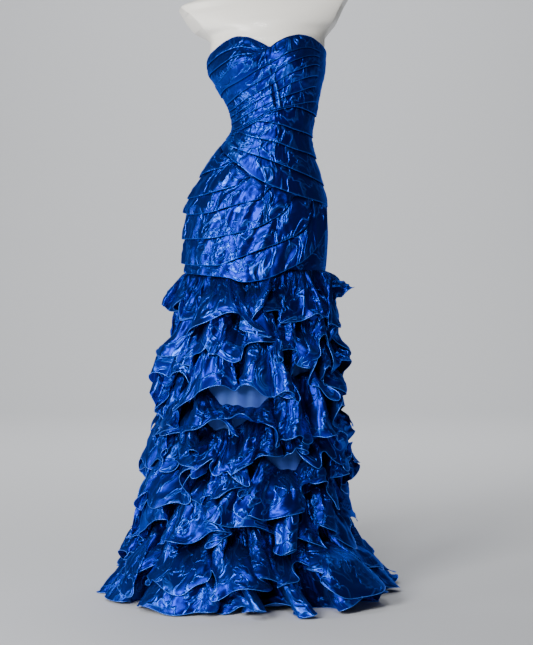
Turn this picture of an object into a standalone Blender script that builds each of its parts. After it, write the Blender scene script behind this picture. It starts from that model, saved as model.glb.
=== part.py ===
"""Strapless mermaid gown of crisp blue organza, worn by a limbless white dress form on a pole stand.

Sizes are in millimetres and become metres where a mesh is made. +Z is up, the front of the gown
faces -Y, and the origin is the centre of the stand's underside, on the floor.

Every cloth piece is laid out round the figure by its turn, in degrees: 0 is the side seam at -X,
90 is the centre front, 180 the side seam at +X and 270 the centre back.
"""

import math
import random

import bpy
from mathutils import Vector

MM = 0.001

# Cloth and seams
CLOTH = 1.2  # one layer, with its rolled hem
SEAM_GAP = 0.5  # between two pieces that are sewn edge to edge
PLEAT_LOW = 1.5  # bodice wall where a pleat starts, under the one above
PLEAT_HIGH = 3.9  # and at its folded edge
PLEAT_STEP = 1.2  # drop of the folded edge down to the next pleat
TURN_STEP = 10  # turn between two columns of a fitted piece
FORM_CLEARANCE = 3.6  # between the dress form and the inside of the cloth

# The figure that the gown is cut for: the inside of the cloth, from the hem to the bust.
# It stands hip-shot, so the centre line swings from side to side.
# height, centre_x, half_width, centre_y, half_depth
FIGURE = (
    (8, -28, 258, 0, 250),
    (100, -33, 228, -2, 212),
    (200, -36, 204, -5, 184),
    (300, -33, 190, -5, 166),
    (400, -28, 178, -5, 150),
    (500, -22, 168, -4, 135),
    (600, -17, 161, -2, 122),
    (690, -13, 158, 0, 112),
    (740, -9, 158, 2, 105),
    (788, -10, 164, 6, 108),
    (841, -9, 166, 11, 112),
    (877, -8, 165, 14, 115),
    (910, -9, 163, 14, 115),
    (940, -5, 157, 11, 111),
    (985, 1, 139, 4, 101),
    (1035, 8, 118, -1, 89),
    (1059, 12, 109, -2, 85),
    (1078, 17, 101, -4, 82),
    (1098, 23, 94, -4, 80),
    (1123, 26, 97, -5, 80),
    (1148, 26, 103, -6, 82),
    (1178, 22, 114, -6, 85),
    (1204, 17, 124, -7, 90),
    (1237, 11, 138, -8, 97),
    (1265, 11, 140, -6, 101),
    (1290, 14, 139, -2, 101),
    (1320, 14, 140, 0, 99),
)
CUP_X = 18  # centre front, between the cups
CUP_SPREAD = 66  # from there to the middle of a cup
CUP_HEIGHT = 1252
CUP_DEPTH = 20
CUP_RADIUS = 36


def spline(points, x):
    """Value at x of the smooth curve through (x, value) points, which never overshoots them."""
    if x <= points[0][0]:
        return points[0][1]
    if x >= points[-1][0]:
        return points[-1][1]
    k = max(i for i in range(len(points) - 1) if points[i][0] <= x)

    def chord(i):
        return (points[i + 1][1] - points[i][1]) / (points[i + 1][0] - points[i][0])

    def slope(i):
        if i == 0 or i == len(points) - 1:
            return chord(k)
        before, after = chord(i - 1), chord(i)
        return 0 if before * after <= 0 else 2 * before * after / (before + after)

    width = points[k + 1][0] - points[k][0]
    t = (x - points[k][0]) / width
    start, end = points[k][1], points[k + 1][1]
    bend = t * (1 - t)
    return (
        start * (1 + 2 * t) * (1 - t) ** 2
        + end * t * t * (3 - 2 * t)
        + width * bend * ((1 - t) * slope(k) - t * slope(k + 1))
    )


def figure(height):
    """Centre_x, half_width, centre_y and half_depth of the figure at a height."""
    return [spline([(row[0], row[i]) for row in FIGURE], height) for i in (1, 2, 3, 4)]


def cup(x, height):
    """How far the two cups stand forward of the figure's oval."""
    rise = math.exp(-((height - CUP_HEIGHT) ** 2) / (2 * CUP_RADIUS**2))
    sides = [x - CUP_X - CUP_SPREAD, x - CUP_X + CUP_SPREAD]
    return CUP_DEPTH * rise * sum(math.exp(-(s * s) / (2 * CUP_RADIUS**2)) for s in sides)


def on_figure(turn, height, out):
    """Point at this turn and height, moved out from the inside of the cloth."""
    centre_x, half_width, centre_y, half_depth = figure(height)
    angle = math.radians(turn)
    x = centre_x - (half_width + out) * math.cos(angle)
    y = centre_y - (half_depth + out) * math.sin(angle)
    if y < centre_y:
        y -= cup(x, height) * min(1, 2 * math.sin(angle))
    return Vector((x, y, height))


def mirrored(turn):
    """Turn of the front that a turn of the back repeats: the hip pieces are alike on both."""
    turn %= 360
    return 360 - turn if turn > 180 else turn


# ---------------------------------------------------------------- meshes and materials
def material(name, colour, roughness, metallic=0.0):
    made = bpy.data.materials.new(name)
    made.use_nodes = True
    shader = made.node_tree.nodes["Principled BSDF"]
    shader.inputs["Base Color"].default_value = (*colour, 1)
    shader.inputs["Roughness"].default_value = roughness
    shader.inputs["Metallic"].default_value = metallic
    return made


def add_object(name, points, faces, look):
    """One named object, from points in millimetres."""
    mesh = bpy.data.meshes.new(name)
    mesh.from_pydata([tuple(Vector(p) * MM) for p in points], [], faces)
    mesh.materials.append(look)
    mesh.shade_smooth()
    mesh.set_sharp_from_angle(angle=math.radians(50))
    made = bpy.data.objects.new(name, mesh)
    bpy.context.scene.collection.objects.link(made)
    return made


def add_wall(name, outer, inner, ring, look):
    """Closed wall between two stacks of rows, both listed from the top down and by rising turn.

    The outside has either the inside's rows, or two for each space between them, as pleats have.
    A ring closes on itself, and a strip gets ends.
    """
    columns = len(outer[0])
    points = [p for row in outer + inner for p in row]
    first_inner = len(outer)
    faces = []

    def corner(row, column):
        return row * columns + column % columns

    spans = columns if ring else columns - 1
    for c in range(spans):
        for r in range(len(outer) - 1):
            faces.append((corner(r, c), corner(r + 1, c), corner(r + 1, c + 1), corner(r, c + 1)))
        for r in range(first_inner, first_inner + len(inner) - 1):
            faces.append((corner(r, c), corner(r, c + 1), corner(r + 1, c + 1), corner(r + 1, c)))
        top_in, low_out, low_in = first_inner, first_inner - 1, first_inner + len(inner) - 1
        faces.append((corner(0, c), corner(0, c + 1), corner(top_in, c + 1), corner(top_in, c)))
        bottom = [corner(low_out, c), corner(low_in, c), corner(low_in, c + 1), corner(low_out, c + 1)]
        faces.append(tuple(bottom))
    if not ring:
        pleated = len(outer) > len(inner)
        for r in range(len(outer) - 1):
            beside = first_inner + ((r + 1) // 2 if pleated else r)
            below = first_inner + ((r + 2) // 2 if pleated else r + 1)
            for column, flip in ((0, False), (spans, True)):
                loop = [corner(beside, column), corner(below, column), corner(r + 1, column), corner(r, column)]
                loop = loop[1:] if beside == below else loop
                faces.append(tuple(reversed(loop)) if flip else tuple(loop))
    return add_object(name, points, faces, look)


def add_cloth(name, rows, ring, look):
    """Wall of one layer whose middle is a grid of points, listed from the top down."""
    columns = len(rows[0])

    def near(row, column):
        if ring:
            return rows[row][column % columns]
        return rows[row][min(max(column, 0), columns - 1)]

    outer, inner = [], []
    for r, row in enumerate(rows):
        above, below = max(r - 1, 0), min(r + 1, len(rows) - 1)
        normals = []
        for c in range(columns):
            along = near(r, c + 1) - near(r, c - 1)
            down = rows[below][c] - rows[above][c]
            normals.append(down.cross(along).normalized())
        outer.append([p + n * CLOTH / 2 for p, n in zip(row, normals)])
        inner.append([p - n * CLOTH / 2 for p, n in zip(row, normals)])
    return add_wall(name, outer, inner, ring, look)


def add_turned(name, profile, sides, look):
    """Solid turned round the Z axis, from (radius, height) points listed up its outer side."""
    points, faces = [], []
    for radius, height in profile:
        for s in range(sides):
            angle = math.tau * s / sides
            points.append((radius * math.cos(angle), radius * math.sin(angle), height))
    for level in range(len(profile) - 1):
        for s in range(sides):
            low, after = level * sides, (s + 1) % sides
            faces.append((low + s, low + after, low + sides + after, low + sides + s))
    faces.append(tuple(reversed(range(sides))))
    faces.append(tuple(range((len(profile) - 1) * sides, len(profile) * sides)))
    return add_object(name, points, faces, look)


# ---------------------------------------------------------------- dress form and stand
FORM_BOTTOM = 740
FORM_CUP = 0.7  # of the gown's own cups
FORM_HEIGHTS = (740, 800, 860, 910, 950, 990, 1025, 1050, 1070, 1085, 1097, 1110, 1128)
FORM_HEIGHTS += (1155, 1190, 1225, 1255, 1287)
FORM_COLUMNS = 12  # from one side to the other, on each of the front and back
SHOULDER_TILT = math.radians(6)  # the shoulder at -X is the lower one
TILT_FROM, TILT_FULL = 1290, 1380
# Chest, shoulders with their flat arm caps, and neck.
# height, centre_x, half_width, front, back, half_depth_of_the_side
FORM_TOP = (
    (1312, 14, 136, -93, 94, 3),
    (1328, 12, 148, -93, 95, 22),
    (1345, 9, 167, -90, 95, 39),
    (1365, 8, 180, -82, 92, 42),
    (1385, 8, 192, -73, 86, 38),
    (1400, 8, 201, -65, 80, 28),
    (1410, 8, 206, -59, 74, 15),
    (1416, 8, 204, -56, 71, 8),
    (1421, 8, 194, -53, 68, 6),
    (1426, 7, 170, -51, 66, 6),
    (1430, 7, 140, -49, 64, 6),
    (1436, 6, 102, -47, 61, 6),
    (1445, 3, 72, -45, 58, 5),
    (1460, 1, 58, -43, 54, 4),
    (1490, 0, 53, -45, 50, 3),
    (1516, 0, 52, -47, 49, 3),
    (1520, 0, 48, -43, 45, 3),
)
STAND_RADIUS = 120
POLE_RADIUS = 16
JOINT_GAP = 0.3


def form_ring(height, centre_x, half_width, front, back, side_depth):
    """One level of the dress form, with flat sides where an arm would join."""
    lean = min(1, max(0, (height - TILT_FROM) / (TILT_FULL - TILT_FROM)))
    ring = []
    middle = (front + back) / 2
    for face, depth in ((1, middle - front), (-1, back - middle)):
        for c in range(FORM_COLUMNS + 1):
            angle = math.pi * c / FORM_COLUMNS
            across = -face * math.cos(angle)
            x = centre_x + half_width * across
            swell = side_depth + (depth - side_depth) * math.sin(angle)
            y = middle - face * swell
            if face == 1:
                y -= FORM_CUP * cup(x, height) * min(1, 2 * math.sin(angle))
            z = height + lean * math.tan(SHOULDER_TILT) * (x - centre_x)
            ring.append((x, y, z))
    return ring


def add_form(look):
    rings = []
    for height in FORM_HEIGHTS:
        centre_x, half_width, centre_y, half_depth = figure(height)
        half_width -= FORM_CLEARANCE
        half_depth -= FORM_CLEARANCE
        rings.append(
            form_ring(height, centre_x, half_width, centre_y - half_depth, centre_y + half_depth, 2)
        )
    rings += [form_ring(*row) for row in FORM_TOP]
    columns = len(rings[0])
    faces = []
    for r in range(len(rings) - 1):
        for c in range(columns):
            low, after = r * columns, (c + 1) % columns
            faces.append((low + c, low + after, low + columns + after, low + columns + c))
    faces.append(tuple(reversed(range(columns))))
    faces.append(tuple(range((len(rings) - 1) * columns, len(rings) * columns)))
    return add_object("form_torso", [p for ring in rings for p in ring], faces, look)


def add_stand(steel):
    """Round base with a socket, and a pole with a collar that carries the form."""
    base = ((STAND_RADIUS, 0), (STAND_RADIUS, 5), (STAND_RADIUS - 3, 7), (34, 9), (26, 14), (26, 30))
    add_turned("stand_base", base, 32, steel)
    foot, head = base[-1][1] + JOINT_GAP, FORM_BOTTOM - JOINT_GAP
    pole = ((POLE_RADIUS, foot), (POLE_RADIUS, head - 26), (34, head - 14), (34, head))
    add_turned("stand_pole", pole, 20, steel)


# ---------------------------------------------------------------- pleated bodice
# Heights of the folded edges, by turn.
LEFT_NECKLINE = ((0, 1262), (15, 1276), (34, 1292), (47, 1304), (60, 1312), (71, 1309), (81, 1299))
LEFT_NECKLINE += ((91, 1286),)
RIGHT_NECKLINE = ((100, 1300), (111, 1312), (122, 1317), (134, 1314), (149, 1303), (166, 1290), (180, 1281))
BACK_NECKLINE = ((180, 1281), (200, 1262), (230, 1245), (270, 1238), (310, 1241), (340, 1250), (360, 1262))
LEFT_CUP_FOLDS = (
    LEFT_NECKLINE,
    ((0, 1243), (30, 1262), (48, 1278), (64, 1285), (76, 1281), (84, 1279), (91, 1285)),
    ((0, 1222), (30, 1237), (48, 1252), (64, 1266), (76, 1267), (84, 1274), (91, 1284)),
    ((0, 1203), (30, 1212), (45, 1225), (60, 1244), (75, 1256), (85, 1271), (91, 1283)),
)
# The crossed-over front, whose top is the fold out of the sweetheart point and then the right neckline.
FRONT_FOLDS = (
    LEFT_CUP_FOLDS[-1] + RIGHT_NECKLINE,
    ((0, 1178), (30, 1193), (60, 1210), (90, 1243), (115, 1277), (131, 1287), (150, 1281), (180, 1262)),
    ((0, 1157), (30, 1166), (60, 1188), (90, 1218), (120, 1257), (141, 1270), (160, 1262), (180, 1243)),
    ((0, 1142), (30, 1149), (60, 1170), (90, 1198), (120, 1232), (145, 1249), (180, 1222)),
    ((0, 1128), (30, 1136), (60, 1155), (90, 1180), (120, 1209), (148, 1224), (180, 1203)),
    ((0, 1112), (30, 1120), (60, 1138), (90, 1162), (120, 1184), (150, 1200), (180, 1184)),
    ((0, 1097), (30, 1102), (60, 1119), (90, 1143), (120, 1156), (150, 1165), (180, 1164)),
)
# The wrap falls the other way, from the waist at -X to the hip at +X.
WRAP_FOLDS = (
    FRONT_FOLDS[-1],
    ((0, 1094), (116, 1151), (150, 1141), (180, 1134)),
    ((0, 1091), (65, 1118), (100, 1110), (125, 1098), (180, 1084)),
    ((0, 1088), (30, 1096), (70, 1080), (101, 1068), (125, 1053), (150, 1044), (180, 1034)),
    ((0, 1084), (20, 1076), (40, 1062), (88, 1032), (128, 1000), (150, 985), (180, 970)),
    ((0, 1070), (15, 1062), (32, 1048), (66, 1012), (80, 990), (104, 962), (126, 943), (150, 931), (180, 921)),
)
LEAST_PLEAT = 4.0  # where folds run together
LEFT_CUP_END = 88  # the left cup runs out at the sweetheart point
SIDE_PANEL_START = 150  # the front's folds end at a seam, beside a plain side panel
SIDE_PANEL_OUT = 1.8
SIDE_SEAM = 0.12  # turn left free on each side of an upright seam
BACK_PLEATS = 6
WRAP_EDGE = WRAP_FOLDS[-1]


def wrap_edge(turn):
    """Height of the wrap's lower edge, on the front and, alike, on the back."""
    return spline(WRAP_EDGE, mirrored(turn))


def fold_heights(folds, turn):
    """Heights of all the folds at one turn, kept apart where they run together."""
    heights = []
    for fold in folds:
        height = spline(fold, turn)
        if heights:
            height = min(height, heights[-1] - LEAST_PLEAT)
        heights.append(height)
    return heights


def front_heights(turn):
    return fold_heights(FRONT_FOLDS, turn)


def left_cup_heights(turn):
    """The left cup ends just above the crossed-over front."""
    neckline, *folds = [spline(fold, turn) for fold in LEFT_CUP_FOLDS]
    low = front_heights(turn)[0] + SEAM_GAP
    share = [max(0, neckline - fold) / max(1, neckline - folds[-1]) for fold in folds]
    return [neckline, *(neckline - (neckline - low) * part for part in share)]


def wrap_heights(turn):
    """The wrap starts just below the pleats above it, on the front and the back."""
    top = front_heights(mirrored(turn))[-1] - SEAM_GAP
    return [top, *fold_heights(WRAP_FOLDS, mirrored(turn))[1:]]


def back_heights(turn):
    """Level pleats across the back, from the neckline down to the waist."""
    top, low = spline(BACK_NECKLINE, turn), front_heights(mirrored(turn))[-1]
    return [top + (low - top) * p / BACK_PLEATS for p in range(BACK_PLEATS + 1)]


def turns_between(start, end, step=TURN_STEP):
    """Turns from start to end, on whole steps between them so that fitted pieces share columns."""
    first = math.floor(start / step + 0.1) + 1
    last = math.ceil(end / step - 0.1) - 1
    return [start, *(step * k for k in range(first, last + 1)), end]


def add_pleated(name, turns, heights_at, look):
    """Fitted panel, plain inside, whose outside steps down from each folded edge to the next pleat."""
    stacks = [heights_at(turn) for turn in turns]
    pleats = len(stacks[0]) - 1
    outer, inner = [], []
    for p in range(pleats):
        step = PLEAT_STEP if p else 0
        outer.append([on_figure(t, s[p] - step, PLEAT_LOW) for t, s in zip(turns, stacks)])
        outer.append([on_figure(t, s[p + 1], PLEAT_HIGH) for t, s in zip(turns, stacks)])
    for p in range(pleats + 1):
        inner.append([on_figure(t, s[p], 0) for t, s in zip(turns, stacks)])
    return add_wall(name, outer, inner, False, look)


def add_plain(name, turns, heights_at, look):
    """Fitted panel of even thickness."""
    stacks = [heights_at(turn) for turn in turns]
    rows = range(len(stacks[0]))
    outer = [[on_figure(t, s[r], SIDE_PANEL_OUT) for t, s in zip(turns, stacks)] for r in rows]
    inner = [[on_figure(t, s[r], 0) for t, s in zip(turns, stacks)] for r in rows]
    return add_wall(name, outer, inner, False, look)


def add_bodice(look):
    front = turns_between(SIDE_SEAM, SIDE_PANEL_START - SIDE_SEAM)
    side = turns_between(SIDE_PANEL_START + SIDE_SEAM, 180 - SIDE_SEAM)
    half = turns_between(SIDE_SEAM, 180 - SIDE_SEAM)
    back = [turn + 180 for turn in half]
    add_pleated("bodice_left_cup", turns_between(SIDE_SEAM, LEFT_CUP_END), left_cup_heights, look)
    add_pleated("bodice_front", front, front_heights, look)
    add_plain("bodice_side", side, front_heights, look)
    add_pleated("bodice_back", back, back_heights, look)
    add_pleated("waist_wrap_front", half, wrap_heights, look)
    add_pleated("waist_wrap_back", back, wrap_heights, look)


# ---------------------------------------------------------------- hip yoke and its crescent tiers
YOKE_LOW = 740
YOKE_ROWS = 7
TIER_TOP_OUT = 3.4  # from the yoke's inside to a tier's, at its seam
TIER_LOW_OUT = (9, 9, 9, 9, 11, 13)  # and at the hem of each
TIER_BOW = 2.0  # how far its middle bows out beyond that
TIER_TUCK = 12  # how far a tier runs up under the one above
TIER_END_LIFT = 2.6  # extra stand-off at a tier's ends, over the next tier's top
TIER_END_TURN = 14  # over this last stretch
TIER_LEAST = 10  # height at which a tier's end is cut off
# Each tier's hem by turn, from the side at -X to the point where it meets the wrap.
TIER_HEMS = (
    ((0, 990), (29, 1003), (48, 1011), (64, 1014)),
    ((0, 938), (31, 944), (56, 957), (80, 977), (88, 985)),
    ((0, 909), (26, 901), (47, 903), (67, 917), (76, 925), (91, 936), (106, 962)),
    ((0, 843), (45, 843), (67, 852), (85, 865), (101, 888), (113, 912), (127, 944)),
    ((0, 786), (37, 781), (58, 781), (72, 794), (91, 817), (108, 836), (123, 860), (132, 886), (143, 938)),
    ((0, 764), (48, 757), (66, 752), (79, 742), (91, 746), (110, 767), (131, 802), (143, 836), (170, 908)),
)
GATHER_WAVES = (7, 8, 8, 9, 9, 9)  # soft upright folds round each tier
GATHER_DEPTH = 1.8


def tier_hem(tier, turn):
    return spline(TIER_HEMS[tier], mirrored(turn))


def tier_top(tier, turn):
    """A tier starts at the wrap's edge, or tucked under the tier above where there is one."""
    top = wrap_edge(turn) - SEAM_GAP
    if tier and mirrored(turn) < tier_end(tier - 1):
        top = min(top, tier_hem(tier - 1, turn) + TIER_TUCK)
    return top


def tier_end(tier):
    """Turn at which the tier's hem has come up to the wrap's edge."""
    turn = 0.0
    while turn < 177 and wrap_edge(turn) - SEAM_GAP - tier_hem(tier, turn) > TIER_LEAST:
        turn += 0.5
    return turn


def add_yoke(look):
    turns = [TURN_STEP * k for k in range(360 // TURN_STEP)]
    outer, inner = [], []
    for out, rows in ((CLOTH, outer), (0, inner)):
        for r in range(YOKE_ROWS + 1):
            share = r / YOKE_ROWS
            row = []
            for turn in turns:
                top = wrap_edge(turn) - SEAM_GAP
                row.append(on_figure(turn, top + (YOKE_LOW - top) * share, out))
            rows.append(row)
    return add_wall("hip_yoke", outer, inner, True, look)


def add_tier(tier, look):
    """Crescent that runs from the front round the side at -X to the back, with its hem standing off."""
    end = tier_end(tier)
    turns = turns_between(-end, end)
    outer, inner = [], []
    for extra, rows in ((CLOTH, outer), (0, inner)):
        for share in (0, 0.5, 1):
            row = []
            for turn in turns:
                top, low = tier_top(tier, turn), tier_hem(tier, turn)
                lift = max(0, 1 - (end - abs(turn)) / TIER_END_TURN) * TIER_END_LIFT
                fold = GATHER_DEPTH * share * (1 + math.sin(math.radians(GATHER_WAVES[tier] * turn)))
                bow = TIER_BOW * 4 * share * (1 - share)
                out = TIER_TOP_OUT + (TIER_LOW_OUT[tier] - TIER_TOP_OUT) * share + bow + lift + fold
                row.append(on_figure(turn, top + (low - top) * share, out + extra))
            rows.append(row)
    return add_wall(f"hip_tier_{tier + 1}", outer, inner, False, look)


# ---------------------------------------------------------------- underskirt and ruffles
UNDERSKIRT_LOW = 12
UNDERSKIRT_COLUMNS = 26
SEAM_OUT = 2.5  # from the skirt's inside to the middle of a ruffle's gathered edge
SEAM_GATHER = 1.6  # depth of the gathers at the seam
SEAM_TUCK = 1  # how far the first ruffle runs up under the lowest crescent
TROUGH_OUT = 29  # where a wave of the hem lies nearest to the skirt
PUFF = 0.7  # below 1 the crisp cloth stands out soon after its seam, then falls
WAVE_POINTS = 6  # columns in a wave
RUFFLE_SHARES = (0, 0.4, 1)  # rows, from the seam to the hem
WAVE_ROUND = 0.8  # how full the waves are: 0 is a plain sine, 1 stands their flanks square
HEM_RISE = 22  # how much higher a crest's hem is than a trough's
FLOOR_RISE = 10  # the same at the floor
FALL = 0.35  # how much later a crest drops than it stands out
SWAY = 4  # how far the seams wander up and down round the skirt
SWAY_TURN = 60
# seam, hem, waves, reach_left, reach_front, reach_right, seed
RUFFLES = (
    (770, 670, 12, 54, 46, 48, 11),
    (676, 586, 12, 34, 46, 28, 12),
    (592, 496, 13, 60, 48, 56, 13),
    (502, 398, 13, 54, 48, 42, 14),
    (404, 328, 14, 64, 42, 48, 15),
    (334, 255, 14, 58, 46, 60, 16),
    (261, 167, 14, 50, 48, 44, 17),
    (173, 81, 14, 58, 46, 30, 18),
    (87, 2, 15, 92, 82, 92, 19),
)


def ruffle_waves(number):
    """Uneven waves round a tier: start and width in turns, height as a factor, and sideways lean."""
    count, seed = RUFFLES[number][2], RUFFLES[number][6]
    rng = random.Random(seed)
    widths = [rng.uniform(0.7, 1.35) for _ in range(count)]
    share = 360 / sum(widths)
    waves, start = [], -widths[0] * share / 2
    for width in widths:
        height = 0.6 + 0.35 * width + rng.uniform(-0.1, 0.1)
        waves.append((start, width * share, height, rng.uniform(-0.16, 0.16)))
        start += width * share
    return waves


def ruffle_seam(number, turn):
    """Height of a ruffle's seam. The first is tucked under the lowest crescent."""
    seam = RUFFLES[number][0]
    sway = SWAY * math.sin(math.radians(turn + SWAY_TURN))
    if number == 0:
        return min(tier_hem(len(TIER_HEMS) - 1, turn) + SEAM_TUCK, seam + sway)
    return seam + sway


def ruffle_reach(number, turn):
    """How far a full crest stands out, eased from the sides to the front and back."""
    _, _, _, left, front, right, _ = RUFFLES[number]
    sideways = math.cos(math.radians(turn))
    return front + ((left if sideways > 0 else right) - front) * sideways**2


def ruffle_point(number, wave, place, share):
    """Middle of the cloth at a place from 0 to 1 along a wave, and a share of the way to the hem."""
    start, width, height, lean = wave
    crest = (1 - math.cos(math.tau * place)) / 2
    along = place + WAVE_ROUND * share * math.sin(2 * math.tau * place) / (2 * math.tau)
    turn = start + width * (along + lean * share * crest)
    reach = ruffle_reach(number, turn) * height
    trough = SEAM_OUT + (TROUGH_OUT - SEAM_OUT) * share**PUFF
    out = trough + crest * (SEAM_GATHER + (reach - SEAM_GATHER) * share**PUFF)
    seam = ruffle_seam(number, turn)
    rise = FLOOR_RISE if number == len(RUFFLES) - 1 else HEM_RISE
    drop = (seam - RUFFLES[number][1] - rise * crest) * share ** (1 + FALL * crest)
    spot = on_figure(turn, seam - drop, 0)
    _, half_width, _, half_depth = figure(seam - drop)
    angle = math.radians(turn)
    normal = Vector((-math.cos(angle) / half_width, -math.sin(angle) / half_depth, 0)).normalized()
    return spot + normal * out


def add_ruffle(number, look):
    places = [(wave, k / WAVE_POINTS) for wave in ruffle_waves(number) for k in range(WAVE_POINTS)]
    rows = [[ruffle_point(number, wave, place, share) for wave, place in places] for share in RUFFLE_SHARES]
    return add_cloth(f"ruffle_{number + 1}", rows, True, look)


def add_underskirt(look):
    turns = [360 * k / UNDERSKIRT_COLUMNS for k in range(UNDERSKIRT_COLUMNS)]
    heights = [YOKE_LOW - SEAM_GAP, *(row[0] for row in RUFFLES[1:]), UNDERSKIRT_LOW]
    outer = [[on_figure(t, h, CLOTH) for t in turns] for h in heights]
    inner = [[on_figure(t, h, 0) for t in turns] for h in heights]
    return add_wall("underskirt", outer, inner, True, look)


# ---------------------------------------------------------------- build
def build():
    for old in list(bpy.data.objects):
        bpy.data.objects.remove(old)
    organza = material("blue_organza", (0.01, 0.07, 0.55), 0.3, 0.3)
    satin = material("periwinkle_satin", (0.12, 0.18, 0.62), 0.4)
    ivory = material("ivory_form", (0.86, 0.83, 0.76), 0.45)
    steel = material("satin_steel", (0.6, 0.6, 0.6), 0.3, 1.0)
    add_form(ivory)
    add_stand(steel)
    add_bodice(organza)
    add_yoke(organza)
    for tier in range(len(TIER_HEMS)):
        add_tier(tier, organza)
    add_underskirt(satin)
    for number in range(len(RUFFLES)):
        add_ruffle(number, organza)


build()
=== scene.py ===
import math
import random

import bpy
import numpy as np
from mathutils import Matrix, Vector, noise


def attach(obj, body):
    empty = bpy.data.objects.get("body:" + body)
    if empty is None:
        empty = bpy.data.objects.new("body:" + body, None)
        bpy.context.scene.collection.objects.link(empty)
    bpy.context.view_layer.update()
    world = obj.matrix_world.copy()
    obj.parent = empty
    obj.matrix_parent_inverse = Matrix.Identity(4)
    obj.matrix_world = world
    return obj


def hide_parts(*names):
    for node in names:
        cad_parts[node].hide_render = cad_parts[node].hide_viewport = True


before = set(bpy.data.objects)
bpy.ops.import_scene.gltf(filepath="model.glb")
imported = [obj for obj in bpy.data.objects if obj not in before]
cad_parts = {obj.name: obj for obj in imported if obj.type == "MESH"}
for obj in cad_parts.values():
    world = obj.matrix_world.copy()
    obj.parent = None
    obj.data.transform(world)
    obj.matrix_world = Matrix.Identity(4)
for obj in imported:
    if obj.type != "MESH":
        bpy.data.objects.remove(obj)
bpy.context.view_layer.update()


# ---------------------------------------------------------------- camera and studio
# A long lens stands level with the hips, 3.6 m in front of the gown, and looks down very slightly.
# The gown stands on pale paper that sweeps up behind it. The main softbox is high at the viewer's
# left, with weaker ones above, beside and low in front of the gown, and one more for the paper.
LOOK_DOWN = 2.5
camera = bpy.data.objects.new("camera", bpy.data.cameras.new("camera"))
camera.data.lens = 83.7
camera.data.clip_end = 40
camera.location = (0.011, -3.6, 0.80)
camera.rotation_euler = (math.radians(90 - LOOK_DOWN), 0, 0)
bpy.context.scene.collection.objects.link(camera)
bpy.context.scene.camera = camera


def add_softbox(name, place, aim, width, height, power):
    """A rectangular lamp, in metres and watts."""
    lamp = bpy.data.lights.new(name, "AREA")
    lamp.shape = "RECTANGLE"
    lamp.size, lamp.size_y = width, height
    lamp.energy = power
    lamp_object = bpy.data.objects.new(name, lamp)
    lamp_object.location = place
    lamp_object.rotation_euler = (Vector(aim) - Vector(place)).to_track_quat("-Z", "Y").to_euler()
    bpy.context.scene.collection.objects.link(lamp_object)


add_softbox("key_softbox", place=(-1.9, -2.9, 1.8), aim=(0, 0, 0.5), width=1.1, height=1.5, power=142)
add_softbox("top_softbox", place=(-0.4, -2.7, 3.1), aim=(0, 0, 0.9), width=0.8, height=0.6, power=48)
add_softbox("side_softbox", place=(-2.6, -1.1, 0.7), aim=(0, 0, 0.4), width=0.4, height=1.2, power=20)
add_softbox("low_softbox", place=(-0.6, -3.2, 0.4), aim=(0, 0, 0.4), width=1.0, height=0.5, power=5)
add_softbox("backdrop_softbox", place=(0, 1.6, 4.2), aim=(0, 6.2, 1.2), width=4.0, height=1.0, power=300)

world = bpy.data.worlds.new("studio")
bpy.context.scene.world = world
world.use_nodes = True
world.node_tree.nodes["Background"].inputs["Color"].default_value = (0.70, 0.78, 0.92, 1)
world.node_tree.nodes["Background"].inputs["Strength"].default_value = 0.06


def material(name, colour, roughness, metallic=0.0):
    """A plain surface."""
    look = bpy.data.materials.new(name)
    look.use_nodes = True
    shader = look.node_tree.nodes["Principled BSDF"]
    shader.inputs["Base Color"].default_value = (*colour, 1)
    shader.inputs["Roughness"].default_value = roughness
    shader.inputs["Metallic"].default_value = metallic
    return look


FLOOR_FRONT, SWEEP_START, SWEEP_RADIUS, SWEEP_TOP, SWEEP_HALF_WIDTH = -9.0, 4.0, 2.6, 8.0, 12.0
sweep = [(FLOOR_FRONT, 0.0), (SWEEP_START, 0.0)]
for degrees in range(5, 91, 5):
    angle = math.radians(degrees)
    sweep.append((SWEEP_START + SWEEP_RADIUS * math.sin(angle), SWEEP_RADIUS * (1 - math.cos(angle))))
sweep.append((SWEEP_START + SWEEP_RADIUS, SWEEP_TOP))
points = [(x, y, z) for y, z in sweep for x in (-SWEEP_HALF_WIDTH, SWEEP_HALF_WIDTH)]
strips = [(2 * i, 2 * i + 1, 2 * i + 3, 2 * i + 2) for i in range(len(sweep) - 1)]
backdrop = bpy.data.meshes.new("studio_sweep")
backdrop.from_pydata(points, [], strips)
backdrop.materials.append(material("pale_paper", (0.62, 0.63, 0.65), roughness=0.8))
backdrop.shade_smooth()
studio_sweep = bpy.data.objects.new("studio_sweep", backdrop)
bpy.context.scene.collection.objects.link(studio_sweep)


# ---------------------------------------------------------------- dress form
# A smooth white moulded shell with flat oval caps where arms would join, and a plain cut-off neck.
# It is lofted from level sections, and the gown is fitted over it.
FORM_CLEARANCE = 3.6
SHOULDER_TILT = math.radians(6)
TILT_FROM, TILT_FULL = 1290, 1380
FORM_CUP = 0.7
BODY_LOW, BODY_HIGH, BODY_STEP, BODY_SIDE = 740, 1268, 8.0, 2
CAP_EDGE = 0.7  # above 0, the front and back meet the flat cap at an edge
CAP_FROM, CAP_DEPTH = 8, 20
CAP_SLANT = (0.55, 0.2)  # how far the left and right caps turn to the front, by half their depth
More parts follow.
